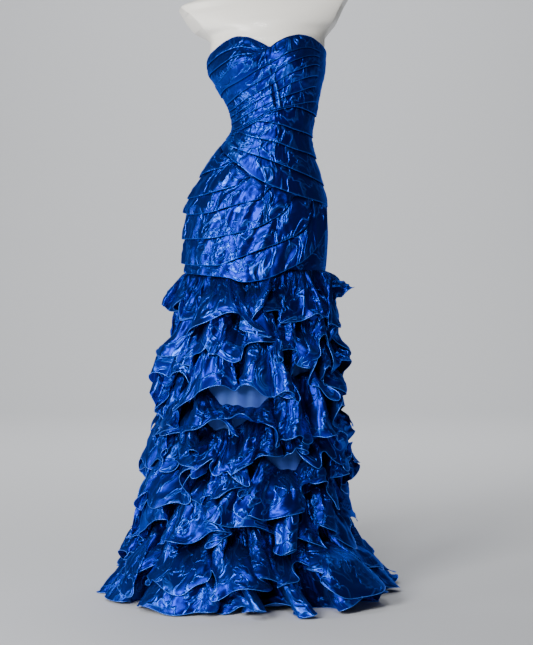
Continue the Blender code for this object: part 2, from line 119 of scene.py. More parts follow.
# height, centre_x, half_width, front, back, half_depth_of_the_side
FORM_TOP = (
    (1312, 14, 136, -93, 94, 3),
    (1328, 12, 148, -93, 95, 22),
    (1345, 9, 167, -90, 95, 39),
    (1365, 8, 180, -82, 92, 42),
    (1385, 8, 192, -73, 86, 38),
    (1400, 8, 201, -65, 80, 28),
    (1410, 8, 206, -59, 74, 15),
    (1416, 8, 204, -56, 71, 8),
    (1421, 8, 194, -53, 68, 6),
    (1426, 7, 170, -51, 66, 6),
    (1430, 7, 140, -49, 64, 6),
    (1436, 6, 102, -47, 61, 6),
    (1445, 3, 72, -45, 58, 5),
    (1460, 1, 58, -43, 54, 4),
    (1490, 0, 53, -45, 50, 3),
    (1516, 0, 52, -47, 49, 3),
    (1520, 0, 48, -43, 45, 3),
)
# Heights of the sections above the body, closest together over the shoulders.
TOP_HEIGHTS = (*range(1284, 1400, 4), *range(1400, 1450, 2), *range(1450, 1521, 5))
# The figure that the gown is cut for, which is the inside of the cloth.
# height, centre_x, half_width, centre_y, half_depth
FIGURE = (
    (8, -28, 258, 0, 250),
    (100, -33, 228, -2, 212),
    (200, -36, 204, -5, 184),
    (300, -33, 190, -5, 166),
    (400, -28, 178, -5, 150),
    (500, -22, 168, -4, 135),
    (600, -17, 161, -2, 122),
    (690, -13, 158, 0, 112),
    (740, -9, 158, 2, 105),
    (788, -10, 164, 6, 108),
    (841, -9, 166, 11, 112),
    (877, -8, 165, 14, 115),
    (910, -9, 163, 14, 115),
    (940, -5, 157, 11, 111),
    (985, 1, 139, 4, 101),
    (1035, 8, 118, -1, 89),
    (1059, 12, 109, -2, 85),
    (1078, 17, 101, -4, 82),
    (1098, 23, 94, -4, 80),
    (1123, 26, 97, -5, 80),
    (1148, 26, 103, -6, 82),
    (1178, 22, 114, -6, 85),
    (1204, 17, 124, -7, 90),
    (1237, 11, 138, -8, 97),
    (1265, 11, 140, -6, 101),
    (1290, 14, 139, -2, 101),
    (1320, 14, 140, 0, 99),
)
CUP_X, CUP_SPREAD, CUP_HEIGHT, CUP_DEPTH, CUP_RADIUS = 18, 66, 1252, 20, 36


def spline(points, x):
    """Values at x, a number or an array, of the smooth curve through the points, without overshoot."""
    places = np.array([p[0] for p in points], float)
    values = np.array([p[1] for p in points], float)
    chords = np.diff(values) / np.diff(places)
    slopes = np.zeros(len(points))
    for i in range(1, len(points) - 1):
        if chords[i - 1] * chords[i] > 0:
            slopes[i] = 2 * chords[i - 1] * chords[i] / (chords[i - 1] + chords[i])
    x = np.clip(np.asarray(x, float), places[0], places[-1])
    k = np.clip(np.searchsorted(places, x, side="right") - 1, 0, len(points) - 2)
    width = places[k + 1] - places[k]
    t = (x - places[k]) / width
    first = np.where(k == 0, chords[0], slopes[k])
    last = np.where(k == len(points) - 2, chords[-1], slopes[k + 1])
    curve = values[k] * (1 + 2 * t) * (1 - t) ** 2 + values[k + 1] * t * t * (3 - 2 * t)
    return curve + width * t * (1 - t) * ((1 - t) * first - t * last)


def figure(height):
    """Centre_x, half_width, centre_y and half_depth of the figure at each height."""
    return [spline([(row[0], row[i]) for row in FIGURE], height) for i in (1, 2, 3, 4)]


def cup(x, height):
    """How far the two cups stand out to the front."""
    rise = np.exp(-((height - CUP_HEIGHT) ** 2) / (2 * CUP_RADIUS**2))
    left, right = x - CUP_X + CUP_SPREAD, x - CUP_X - CUP_SPREAD
    bumps = np.exp(-(left**2) / (2 * CUP_RADIUS**2)) + np.exp(-(right**2) / (2 * CUP_RADIUS**2))
    return CUP_DEPTH * rise * bumps


def add_mesh(name, points, faces, look, smooth_angle=None):
    """One piece, from points in millimetres, that rides with the gown."""
    mesh = bpy.data.meshes.new(name)
    mesh.from_pydata((np.asarray(points).reshape(-1, 3) * 0.001).tolist(), [], faces)
    mesh.materials.append(look)
    mesh.shade_smooth()
    if smooth_angle:
        mesh.set_sharp_from_angle(angle=math.radians(smooth_angle))
    piece = bpy.data.objects.new(name, mesh)
    bpy.context.scene.collection.objects.link(piece)
    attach(piece, "root")
    return piece


def add_form(look):
    """The shell, from a front half and a back half at each section."""
    rows = []
    for height in np.arange(BODY_LOW, BODY_HIGH + 1, BODY_STEP):
        centre_x, half_width, centre_y, half_depth = [float(v) for v in figure(height)]
        half_width, half_depth = half_width - FORM_CLEARANCE, half_depth - FORM_CLEARANCE
        rows.append((height, centre_x, half_width, centre_y - half_depth, centre_y + half_depth, BODY_SIDE))
    # The chest runs on smoothly from three of the body's upper sections.
    joined = (rows[-14], rows[-7], rows[-1]) + FORM_TOP
    for height in TOP_HEIGHTS:
        measures = [float(spline([(row[0], row[i]) for row in joined], height)) for i in range(1, 6)]
        rows.append((height, *measures))
    sides = 44
    rings = []
    for height, centre_x, half_width, front, back, side in rows:
        lean = min(1, max(0, (height - TILT_FROM) / (TILT_FULL - TILT_FROM)))
        middle = (front + back) / 2
        for face, depth in ((1, middle - front), (-1, back - middle)):
            angle = np.pi * np.arange(sides + 1) / sides
            x = centre_x - face * half_width * np.cos(angle)
            if face == 1:
                slant = np.where(np.cos(angle) > 0, CAP_SLANT[0], CAP_SLANT[1])
                x = x + slant * side * np.cos(angle)
            flare = 1 + CAP_EDGE * min(1, max(0, (side - CAP_FROM) / CAP_DEPTH))
            y = middle - face * (side + (depth - side) * np.sin(angle) ** flare)
            if face == 1:
                y = y - FORM_CUP * cup(x, height) * np.minimum(1, 2 * np.sin(angle))
            z = height + lean * math.tan(SHOULDER_TILT) * (x - centre_x)
            rings.append(np.stack([x, y, z], 1))
    columns = 2 * (sides + 1)
    points = np.concatenate(rings)
    count = len(rows)
    faces = []
    for r in range(count - 1):
        for c in range(columns):
            low, after = r * columns, (c + 1) % columns
            faces.append((low + c, low + after, low + columns + after, low + columns + c))
    faces.append(tuple(reversed(range(columns))))
    faces.append(tuple(range((count - 1) * columns, count * columns)))
    return add_mesh("dress_form", points, faces, look, smooth_angle=38)


shell = material("ivory_shell", (0.9, 0.87, 0.8), roughness=0.38)
shell.node_tree.nodes["Principled BSDF"].inputs["Coat Weight"].default_value = 0.15
dress_form = add_form(shell)
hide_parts("form_torso")


# ---------------------------------------------------------------- stand
# Brushed steel: a turned round plate with a socket, and a pole whose collar carries the form.
# The hem hides it, so the solids stay as they are, with their edges broken.
steel = material("brushed_steel", (0.58, 0.58, 0.60), roughness=0.32, metallic=1.0)
steel.node_tree.nodes["Principled BSDF"].inputs["Anisotropic"].default_value = 0.4
for node in ("stand_base", "stand_pole"):
    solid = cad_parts[node]
    solid.data.materials.clear()
    solid.data.materials.append(steel)
    edge = solid.modifiers.new("edge", "BEVEL")
    edge.width = 0.0012
    edge.segments = 2
    edge.limit_method = "ANGLE"
    edge.angle_limit = math.radians(35)


# ---------------------------------------------------------------- underskirt
# Smooth periwinkle satin, cut in flared gores and sewn to the hip yoke. It carries the ruffles,
# and shows where two of them part.
PATTERN_GIRTH = 400  # least girth that the cloth's own pattern is laid round


def on_figure(turn, height, out):
    """Points at these turns and heights, moved out from the inside of the cloth, in millimetres."""
    turn, height, out = np.broadcast_arrays(np.asarray(turn, float), height, out)
    centre_x, half_width, centre_y, half_depth = figure(height)
    angle = np.radians(turn)
    x = centre_x - (half_width + out) * np.cos(angle)
    y = centre_y - (half_depth + out) * np.sin(angle)
    front = np.clip(2 * np.sin(angle), 0, 1)
    return np.stack([x, y - cup(x, height) * front, height], -1)


def add_cloth(name, grid, ring, thickness, look, painted_light=0.0):
    """Thin cloth through a grid of points, listed from the top down and by rising turn.

    The painted light is 1 for a painted highlight along a folded edge and -1 for painted shade deep in a
    fold."""
    rows, columns = grid.shape[:2]
    faces = []
    for r in range(rows - 1):
        for c in range(columns if ring else columns - 1):
            high, low, after = r * columns, (r + 1) * columns, (c + 1) % columns
            faces.append((high + c, low + c, low + after, high + after))
    piece = add_mesh(name, grid, faces, look)
    # The cloth's own directions: round the piece, as on a tube, and down from its seam.
    closed = np.concatenate([grid, grid[:, :1]], 1) if ring else grid
    steps = np.linalg.norm(np.diff(closed, axis=1), axis=2)[rows // 2]
    run = np.concatenate([[0], np.cumsum(steps)])[:columns]
    radius = max(steps.sum(), PATTERN_GIRTH) / math.tau
    fall = np.linalg.norm(np.diff(grid, axis=0), axis=2).mean(1)
    fall = np.concatenate([[0], np.cumsum(fall)])
    cut = np.zeros((rows, columns, 3))
    cut[..., 0] = radius * np.cos(run / radius)
    cut[..., 1] = radius * np.sin(run / radius)
    cut[..., 2] = fall[:, None]
    layer = piece.data.attributes.new("cut", "FLOAT_VECTOR", "POINT")
    layer.data.foreach_set("vector", (cut * 0.001).ravel())
    # Painted light for the material: painted highlight along folded edges and hems, painted shade in folds
    # and under overhanging cloth.
    layer = piece.data.attributes.new("painted_light", "FLOAT", "POINT")
    layer.data.foreach_set("value", np.broadcast_to(painted_light, (rows, columns)).astype(np.float32).ravel())
    if thickness:
        wall = piece.modifiers.new("wall", "SOLIDIFY")
        wall.thickness = thickness * 0.001
        wall.offset = 0
    return piece


def cloth_material(name, deep, lit, roughness, metallic, crinkle, fine, painted_vein_highlight, sheen):
    """Cloth with crinkles in its own directions, with painted highlight lines along them, a painted sheen
    where it turns away, and painted highlight and painted shade from the painted light attribute.
    """
    look = material(name, deep, roughness, metallic)
    tree = look.node_tree
    shader = tree.nodes["Principled BSDF"]
    shader.inputs["Sheen Weight"].default_value = sheen
    shader.inputs["Sheen Roughness"].default_value = 0.35
    shader.inputs["Specular Tint"].default_value = (0.15, 0.4, 1, 1)
    shader.inputs["Sheen Tint"].default_value = (0.2, 0.55, 1, 1)
    cut = tree.nodes.new("ShaderNodeAttribute")
    cut.attribute_name = "cut"
    stretch = tree.nodes.new("ShaderNodeMapping")
    stretch.inputs["Scale"].default_value = (1, 1, 0.8)
    tree.links.new(cut.outputs["Vector"], stretch.inputs["Vector"])
    creases = tree.nodes.new("ShaderNodeTexNoise")
    creases.noise_type = "RIDGED_MULTIFRACTAL"
    creases.inputs["Scale"].default_value = 16
    creases.inputs["Detail"].default_value = 2.5
    creases.inputs["Roughness"].default_value = 0.5
    creases.inputs["Distortion"].default_value = 1.1
    tree.links.new(stretch.outputs["Vector"], creases.inputs["Vector"])
    # Thin lines along the middle values of a swirled noise: fine creases in the bump, and painted highlight
    # lines in the colour.
    swirl = tree.nodes.new("ShaderNodeTexNoise")
    swirl.inputs["Scale"].default_value = 21
    swirl.inputs["Detail"].default_value = 2.5
    swirl.inputs["Distortion"].default_value = 1.4
    tree.links.new(stretch.outputs["Vector"], swirl.inputs["Vector"])
    middle = tree.nodes.new("ShaderNodeMath")
    middle.operation = "SUBTRACT"
    middle.inputs[1].default_value = 0.5
    tree.links.new(swirl.outputs[0], middle.inputs[0])
    distance = tree.nodes.new("ShaderNodeMath")
    distance.operation = "ABSOLUTE"
    tree.links.new(middle.outputs["Value"], distance.inputs[0])
    crease_and_highlight_lines = tree.nodes.new("ShaderNodeMapRange")
    crease_and_highlight_lines.interpolation_type = "SMOOTHSTEP"
    crease_and_highlight_lines.inputs["From Min"].default_value = 0.0
    crease_and_highlight_lines.inputs["From Max"].default_value = 0.06
    crease_and_highlight_lines.inputs["To Min"].default_value = 1.0
    crease_and_highlight_lines.inputs["To Max"].default_value = 0.0
    tree.links.new(distance.outputs["Value"], crease_and_highlight_lines.inputs["Value"])
    # Painted sheen: paler towards the lit colour where the cloth turns away from the view.
    facing = tree.nodes.new("ShaderNodeLayerWeight")
    facing.inputs["Blend"].default_value = 0.25
    # Painted highlight along the thin lines.
    painted_vein_highlights = tree.nodes.new("ShaderNodeMath")
    painted_vein_highlights.operation = "MULTIPLY"
    painted_vein_highlights.inputs[1].default_value = painted_vein_highlight
    tree.links.new(crease_and_highlight_lines.outputs["Result"], painted_vein_highlights.inputs[0])
    share = tree.nodes.new("ShaderNodeMath")
    share.operation = "MAXIMUM"
    tree.links.new(painted_vein_highlights.outputs["Value"], share.inputs[0])
    tree.links.new(facing.outputs["Facing"], share.inputs[1])
    # The deep colour, painted paler towards the lit colour by the highlight lines and the sheen.
    blend = tree.nodes.new("ShaderNodeMix")
    blend.data_type = "RGBA"
    blend.inputs["A"].default_value = (*deep, 1)
    blend.inputs["B"].default_value = (*lit, 1)
    tree.links.new(share.outputs["Value"], blend.inputs["Factor"])
    # Painted light: painted highlight towards pale blue where the attribute is 1, painted shade towards
    # near black where it is -1.
    painted_light = tree.nodes.new("ShaderNodeAttribute")
    painted_light.attribute_name = "painted_light"
    result = blend.outputs["Result"]
    for end, colour in ((1, (0.03, 0.16, 0.8, 1)), (-1, (0.0, 0.001, 0.03, 1))):
        amount = tree.nodes.new("ShaderNodeMapRange")
        amount.inputs["From Max"].default_value = end
        tree.links.new(painted_light.outputs["Fac"], amount.inputs["Value"])
        painted_light_mix = tree.nodes.new("ShaderNodeMix")
        painted_light_mix.data_type = "RGBA"
        painted_light_mix.inputs["B"].default_value = colour
        tree.links.new(amount.outputs["Result"], painted_light_mix.inputs["Factor"])
        tree.links.new(result, painted_light_mix.inputs["A"])
        result = painted_light_mix.outputs["Result"]
    tree.links.new(result, shader.inputs["Base Color"])
    large = tree.nodes.new("ShaderNodeBump")
    large.inputs["Strength"].default_value = crinkle
    large.inputs["Distance"].default_value = 0.008
    tree.links.new(creases.outputs[0], large.inputs["Height"])
    small = tree.nodes.new("ShaderNodeBump")
    small.inputs["Strength"].default_value = fine
    small.inputs["Distance"].default_value = 0.0028
    tree.links.new(crease_and_highlight_lines.outputs["Result"], small.inputs["Height"])
    tree.links.new(large.outputs["Normal"], small.inputs["Normal"])
    tree.links.new(small.outputs["Normal"], shader.inputs["Normal"])
    return look


satin = cloth_material(
    "periwinkle_satin", deep=(0.05, 0.09, 0.38), lit=(0.13, 0.2, 0.6), roughness=0.5, metallic=0.0,
    crinkle=0.08, fine=0.0, painted_vein_highlight=0.0, sheen=0.15,
)
SKIRT_TOP, SKIRT_HEM, SKIRT_OUT = 739.5, 12, 0.7
SKIRT_FOLDS, SLANTED_FOLDS, SKIRT_FOLD_DEPTH = 29, 17, 1.5
turns = np.arange(0, 360, 2.0)[None, :]
heights = np.linspace(SKIRT_TOP, SKIRT_HEM, 36)[:, None]
soft_fold = np.sin(np.radians(turns * SKIRT_FOLDS + 40 * np.sin(np.radians(3 * turns))))
soft_fold = soft_fold + 0.6 * np.sin(np.radians(turns * SLANTED_FOLDS + heights * 0.35))
grid = on_figure(turns, heights, SKIRT_OUT + SKIRT_FOLD_DEPTH * soft_fold)
# Painted shade in the troughs of the soft folds.
skirt_painted_shade = 0.25 * np.minimum(0, soft_fold)
underskirt = add_cloth("satin_underskirt", grid, ring=True, thickness=0.6, look=satin, painted_light=skirt_painted_shade)
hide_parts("underskirt")


# ---------------------------------------------------------------- hip yoke
# Crisp blue organza, fitted round the hips below the wrap.
# It carries the crescents, and shows bare at the viewer's right with a few upright folds.
organza = cloth_material(
    "blue_organza", deep=(0.003, 0.007, 0.23), lit=(0.04, 0.17, 0.95), roughness=0.34, metallic=0.92,
    crinkle=0.52, fine=0.5, painted_vein_highlight=0.45, sheen=0.04,
)
# Places on an edge or a fold are given as turn and height.
WRAP_EDGE = (
    (0, 1070), (15, 1062), (32, 1048), (66, 1012), (80, 990),
    (104, 962), (126, 943), (150, 931), (180, 921),
)
SEAM_GAP = 0.5
YOKE_LOW, YOKE_OUT, YOKE_FOLDS, YOKE_FOLD_DEPTH = 740, 0.6, 23, 1.2


def mirrored(turn):
    """Turn of the front that a turn of the back repeats."""
    turn = np.mod(turn, 360)
    return np.where(turn > 180, 360 - turn, turn)


def wrap_edge(turn):
    """Height of the wrap's free edge."""
    return spline(WRAP_EDGE, mirrored(turn))


def crush(grid, size, seed, squeeze=(1, 1, 1)):
    """Sharp-ridged crumpling from 0 to 1 at each point, with creases about this size apart."""
    flat = (grid.reshape(-1, 3) * np.array(squeeze) / size + seed).tolist()
    values = np.array([abs(noise.noise(p)) for p in flat]).reshape(grid.shape[:2])
    return 1 - np.minimum(1, 2.2 * values)


def wander(grid, size, seed):
    """Smooth unevenness from -1 to 1."""
    flat = (grid.reshape(-1, 3) / size + seed).tolist()
    return np.array([noise.noise(p) for p in flat]).reshape(grid.shape[:2])


turns = np.arange(0, 360, 2.0)[None, :]
share = np.linspace(0, 1, 36)[:, None]
heights = (wrap_edge(turns) - SEAM_GAP) * (1 - share) + YOKE_LOW * share
folds = 0.5 + 0.5 * np.sin(np.radians(turns * YOKE_FOLDS + 60 * np.sin(np.radians(2 * turns + 30))))
lengthwise = np.sin(np.pi * np.clip(share * 1.1, 0, 1))
base = on_figure(turns, heights, YOKE_OUT)
yoke_out = YOKE_OUT + YOKE_FOLD_DEPTH * folds**2 * lengthwise + 0.5 * wander(base, size=40, seed=3)
grid = on_figure(turns, heights, yoke_out)
hip_yoke = add_cloth("hip_yoke_cloth", grid, ring=True, thickness=0.7, look=organza)
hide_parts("hip_yoke")


# ---------------------------------------------------------------- crescent tiers on the hip
# Six crescents of folded organza, each sewn to the yoke under the one above, with the hem free.
# They run from the front, round the hip at the viewer's left, to the back.
TIER_HEMS = (
    ((0, 990), (29, 1003), (48, 1011), (64, 1014)),
    ((0, 938), (31, 944), (56, 957), (80, 977), (88, 985)),
    ((0, 909), (26, 901), (47, 903), (67, 917), (76, 925), (91, 936), (106, 962)),
    ((0, 843), (45, 843), (67, 852), (85, 865), (101, 888), (113, 912), (127, 944)),
    ((0, 786), (37, 781), (58, 781), (72, 794), (91, 817), (108, 836), (123, 860), (132, 886), (143, 938)),
    ((0, 764), (48, 757), (66, 752), (79, 742), (91, 746), (110, 767), (131, 802), (143, 836), (170, 908)),
)
TIER_TOP_OUT, TIER_SEAM_RISE = 3.4, 0.6
TIER_LOW_OUT = (10.5, 10.5, 11, 11, 12.5, 13.5)
TIER_BOW, TIER_LEAST, TIER_TUCK = 2.0, 10, 12
TIER_FULL = 40  # depth of crescent from which its folds are full
TIER_TAPER = (12, 12, 12, 12, 12, 34)  # turn over which each end runs out
TIER_COLUMNS, TIER_LEFT = 1.5, 1.5  # columns to a degree of turn, and depth left at each end
GATHER_WAVES = (7, 8, 8, 9, 9, 9)
GATHER_DEPTH = 1.8
PUCKERS, PUCKER_DEPTH = 31, 0.9
CRUMPLE, CRUMPLE_SIZE, SMALL_CRUMPLE, SMALL_CRUMPLE_SIZE = 2.2, 32, 1.1, 13
# Rows of a crescent, as shares of its depth. The last ones are the hem, turned under by TIER_TURNED.
TIER_ROWS = (*np.linspace(0, 0.95, 28), 0.972, 0.988, 1.0, 1.008, 1.004)
TIER_TURNED = (*np.zeros(30), 0.2, 1.2, 2.4)
# Painted light of each row: painted shadow under the hem of the crescent above, a painted highlight along
# the folded hem, and painted shade where it turns under.
TIER_PAINTED_LIGHT = (-1, -0.9, -0.75, -0.5, -0.25, *np.zeros(23), 0, 0.3, 0.8, 0, -1)
# Upright folds of each tier: turn at the seam, turn at the hem, width in turn, depth
TIER_FOLDS = (
    ((20, 16, 5, 1.5), (44, 40, 4, 1.2), (-24, -20, 5, 1.4)),
    ((14, 10, 5, 1.8), (33, 30, 4, 2.2), (58, 50, 4, 1.6), (-30, -26, 5, 2)),
    ((10, 8, 5, 2.0), (30, 24, 4, 1.8), (52, 46, 5, 2.6), (74, 66, 4, 1.8), (-40, -34, 5, 2)),
    (
        (12, 10, 4, 2.0), (36, 30, 4, 3.0), (56, 51, 4, 3.2), (70, 62, 3, 2.4), (84, 76, 4, 3.4),
        (100, 90, 3, 2.2),
    ),
    (
        (8, 8, 4, 2.6), (30, 28, 4, 2.4), (50, 44, 3, 3.4), (66, 58, 4, 3.0), (86, 76, 4, 4.0),
        (104, 92, 4, 3.6),
    ),
    (
        (12, 12, 4, 2.0), (40, 40, 5, 2.0), (64, 60, 4, 3.0), (84, 80, 4, 2.4), (112, 104, 4, 3.0),
        (134, 124, 4, 3.0), (155, 150, 5, 5.0),
    ),
)


def tier_hem(tier, turn):
    """Height of a crescent's hem."""
    return spline(TIER_HEMS[tier], mirrored(turn))


def tier_end(tier):
    """Turn at which a crescent's hem has climbed to the wrap."""
    turn = 0.0
    while turn < 177 and wrap_edge(turn) - SEAM_GAP - tier_hem(tier, turn) > TIER_LEAST:
        turn += 0.5
    return turn


def tier_top(tier, turn):
    """Height of a crescent's seam, under the wrap or just under the hem of the crescent above."""
    top = wrap_edge(turn) - SEAM_GAP
    if tier:
        tucked = np.minimum(top, tier_hem(tier - 1, turn) + TIER_TUCK)
        top = np.where(mirrored(turn) < tier_end(tier - 1), tucked, top)
    return top


def add_tier(tier, look):
    """One crescent, with upright folds and a crumpled face that fade out at its seam and its ends."""
    end = tier_end(tier)
    turns = np.linspace(-end, end, int(end * TIER_COLUMNS))[None, :]
    share, tuck_under, painted_light = [np.array(row)[:, None] for row in (TIER_ROWS, TIER_TURNED, TIER_PAINTED_LIGHT)]
    top, low = tier_top(tier, turns), tier_hem(tier, turns)
    near_end = np.clip(1 - (end - np.abs(turns)) / TIER_TAPER[tier], 0, 1)
    low = low + (top - TIER_LEFT - low) * near_end**2 * (3 - 2 * near_end)
    heights = top + (low - top) * share
    room = np.clip((top - low) / TIER_FULL, 0, 1)
    gather = GATHER_DEPTH * share * (1 + np.sin(np.radians(GATHER_WAVES[tier] * turns)))
    bow = TIER_BOW * 4 * share * (1 - share)
    out = (TIER_LOW_OUT[tier] - TIER_TOP_OUT) * share + bow + gather
    out = TIER_TOP_OUT + TIER_SEAM_RISE + out * room
    lengthwise = np.clip(share * 3, 0, 1) * np.clip(2.2 - 1.5 * share, 0, 1)
    for at_seam, at_hem, width, depth in TIER_FOLDS[tier]:
        centre = at_seam + (at_hem - at_seam) * share
        ridge = np.exp(-(((turns - centre) / width) ** 2))
        beside = np.exp(-(((turns - centre - 1.6 * width) / width) ** 2))
        out = out + room * depth * (ridge - 0.7 * beside) * lengthwise
    base = on_figure(turns, heights, out)
    puckers = np.sin(np.radians(turns * PUCKERS + 70 * wander(base, size=30, seed=tier)))
    puckers = PUCKER_DEPTH * puckers * np.exp(-share * 5) * np.clip(share * 14, 0, 1)
    large = CRUMPLE * crush(base, CRUMPLE_SIZE, seed=tier * 7.3, squeeze=(1, 1, 0.6))
    small = SMALL_CRUMPLE * crush(base, SMALL_CRUMPLE_SIZE, seed=tier * 3.1, squeeze=(1, 1, 0.7))
    out = out + room * ((large + small) * np.clip(share * 4, 0, 1) + puckers - tuck_under)
    grid = on_figure(turns, heights, out)
    crescent = add_cloth(f"hip_crescent_{tier + 1}", grid, ring=False, thickness=0.9, look=look, painted_light=painted_light)
    return crescent


for tier in range(len(TIER_HEMS)):
    crescent = add_tier(tier, organza)
    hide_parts(f"hip_tier_{tier + 1}")


# ---------------------------------------------------------------- bodice
# Pleated organza mounted on a firm lining. The left cup's pleats run out at the sweetheart point,
# and the other front crosses over them from the right cup to the left waist.
LEFT_NECKLINE = (
    (0, 1262), (15, 1276), (34, 1292), (47, 1304), (60, 1312), (71, 1309), (81, 1299), (91, 1286),
)
RIGHT_NECKLINE = ((100, 1300), (111, 1312), (122, 1317), (134, 1314), (149, 1303), (166, 1290), (180, 1281))
BACK_NECKLINE = ((180, 1281), (200, 1262), (230, 1245), (270, 1238), (310, 1241), (340, 1250), (360, 1262))
LEFT_CUP_FOLDS = (
    LEFT_NECKLINE,
    ((0, 1243), (30, 1262), (48, 1278), (64, 1285), (76, 1281), (84, 1279), (91, 1285)),
    ((0, 1222), (30, 1237), (48, 1252), (64, 1266), (76, 1267), (84, 1274), (91, 1284)),
    ((0, 1203), (30, 1212), (45, 1225), (60, 1244), (75, 1256), (85, 1271), (91, 1283)),
)
FRONT_FOLDS = (
    LEFT_CUP_FOLDS[-1] + RIGHT_NECKLINE,
    ((0, 1178), (30, 1193), (60, 1210), (90, 1243), (115, 1277), (131, 1287), (150, 1281), (180, 1262)),
    ((0, 1157), (30, 1166), (60, 1188), (90, 1218), (120, 1257), (141, 1270), (160, 1262), (180, 1243)),
    ((0, 1142), (30, 1149), (60, 1170), (90, 1198), (120, 1232), (145, 1249), (180, 1222)),
    ((0, 1128), (30, 1136), (60, 1155), (90, 1180), (120, 1209), (148, 1224), (180, 1203)),
    ((0, 1112), (30, 1120), (60, 1138), (90, 1162), (120, 1184), (150, 1200), (180, 1184)),
    ((0, 1097), (30, 1102), (60, 1119), (90, 1143), (120, 1156), (150, 1165), (180, 1164)),
)
LEAST_PLEAT = 4.0
LEFT_CUP_END, SIDE_PANEL_START, SIDE_SEAM = 92, 150, 0.12
BACK_PLEATS = 6
# A pleat from its top to its folded edge, and back up under it:
# share of the way down, stand-off, rise, painted light (painted shadow under the fold above, a painted
# highlight along the folded edge, painted shade under it)
PLEAT_ROWS = (
    (0.0, 1.4, 0.0, -1), (0.1, 1.7, 0.0, -0.5), (0.25, 2.4, 0.0, 0), (0.4, 3.0, 0.0, 0),
    (0.55, 3.5, 0.0, 0), (0.7, 3.9, 0.0, 0), (0.84, 4.4, 0.0, 0), (0.93, 4.7, 0.0, 0),
    (0.97, 4.9, 0.0, 0.2), (1.0, 4.8, 0.0, 0.6), (1.0, 3.9, -0.8, -0.7), (1.0, 2.0, -0.2, -1),
    (1.0, 0.9, 0.6, -1),
)
PLEAT_BASE = 1.2  # stand-off where the pleats have run out
PLEAT_OVER = 4.6  # stand-off of a neckline that laps over another piece
PLEAT_COLUMNS = 1.25  # columns to a degree of turn
DRAWN, DRAWN_SIZE, SMALL_DRAWN, SMALL_DRAWN_SIZE = 2.2, 26, 1.3, 11


def fold_heights(folds, turns):
    """Heights of the folded edges from the top down, each a little below the last."""
    heights = [spline(folds[0], turns)]
    for fold in folds[1:]:
        heights.append(np.minimum(spline(fold, turns), heights[-1] - LEAST_PLEAT))
    return heights


def front_heights(turns):
    """Heights of the crossed front's folded edges, from the neckline down."""
    return fold_heights(FRONT_FOLDS, turns)


def left_cup_heights(turns):
    """Heights of the left cup's folds, closed up so that the last one meets the crossed front."""
    neckline, *folds = [spline(fold, turns) for fold in LEFT_CUP_FOLDS]
    low = front_heights(turns)[0] + SEAM_GAP
    reach = np.maximum(1, neckline - folds[-1])
    return [neckline] + [neckline - (neckline - low) * np.clip((neckline - f) / reach, 0, 9) for f in folds]


def back_heights(turns):
    """Heights of the back's level folds, evenly spaced."""
    top, low = spline(BACK_NECKLINE, turns), front_heights(mirrored(turns))[-1]
    return [top + (low - top) * p / BACK_PLEATS for p in range(BACK_PLEATS + 1)]


def add_pleats(name, start, end, heights_at, seed, look, relief=None, top_over=None, fades=(0, 0)):
    """Fitted panel whose pleats each lap over the next, creased along their length."""
    turns = np.linspace(start, end, int((end - start) * PLEAT_COLUMNS))
    stack = heights_at(turns)
    thin_out = np.ones_like(turns)
    for edge_turn, width in zip((start, end), fades):
        if width:
            thin_out = thin_out * np.clip(0.15 + np.abs(turns - edge_turn) / width, 0, 1)
    rows, outs, slacks, painted_lights = [], [], [], []
    for pleat in range(len(stack) - 1):
        high, low = stack[pleat], stack[pleat + 1]
        for part, stand, rise, painted_light in PLEAT_ROWS:
            rows.append(high + (low - high) * part + rise)
            stand = PLEAT_BASE + (stand - PLEAT_BASE) * thin_out
            if top_over is not None and pleat == 0:
                stand = stand + np.clip(PLEAT_OVER - stand, 0, 9) * top_over(turns)
            outs.append(stand)
            slack = math.sin(math.pi * min(1, part + 0.06)) if rise == 0 else 0
            slacks.append(np.full_like(turns, slack))
            # No painted shadow along the top of the neckline, where no fold lies above.
            neckline = pleat == 0 and part < 0.2
            painted_lights.append(painted_light * thin_out * (0 if neckline else 1))
    heights, out, slack, painted_light = np.array(rows), np.array(outs), np.array(slacks), np.array(painted_lights)
    base = on_figure(turns[None, :], heights, out)
    level = np.stack([base[..., 0], base[..., 1], heights - np.array(stack[1])[None, :]], -1)
    large = DRAWN * (crush(level, DRAWN_SIZE, seed, squeeze=(0.6, 0.6, 1.5)) - 0.5)
    small = SMALL_DRAWN * (crush(level, SMALL_DRAWN_SIZE, seed + 5) - 0.5)
    out = out + (large + small) * slack * thin_out
    if relief is not None:
        raised = relief(turns[None, :], heights)
        out = out + raised
        # Painted highlight on raised folds and painted shade in their grooves.
        painted_light = np.clip(painted_light + 0.2 * raised, -1, 1)
    grid = on_figure(turns[None, :], heights, np.maximum(out, 0.9))
    panel = add_cloth(name, grid, ring=False, thickness=0.8, look=look, painted_light=painted_light)
    return panel


# The pinch at the centre front: its foot and its top, the turn it stands at, and how it leans
PINCH_LOW, PINCH_HIGH, PINCH_TURN, PINCH_LEAN = 1143, 1212, 92.4, 0.03
# Groove and ridges of the pinch: turn beside its middle, width in turn, depth
PINCH_FOLDS = ((0, 2.0, -4.6), (4.2, 1.5, 3.4), (-4.4, 1.8, 1.2))


def pinch(turns, heights):
    """Upright fold where the crossed pleats are caught down at the centre front."""
    middle = PINCH_TURN + (1205 - heights) * PINCH_LEAN
    above, below = np.clip((heights - PINCH_LOW) / 8, 0, 1), np.clip((PINCH_HIGH - heights) / 14, 0, 1)
    folds = 0
    for beside, width, depth in PINCH_FOLDS:
        folds = folds + depth * np.exp(-(((turns - middle - beside) / width) ** 2))
    return folds * above * below


def over_left_cup(turns):
    """How much the crossed front's top edge is lifted over the left cup, from 0 to 1."""
    return np.clip((96 - turns) / 10, 0, 1)


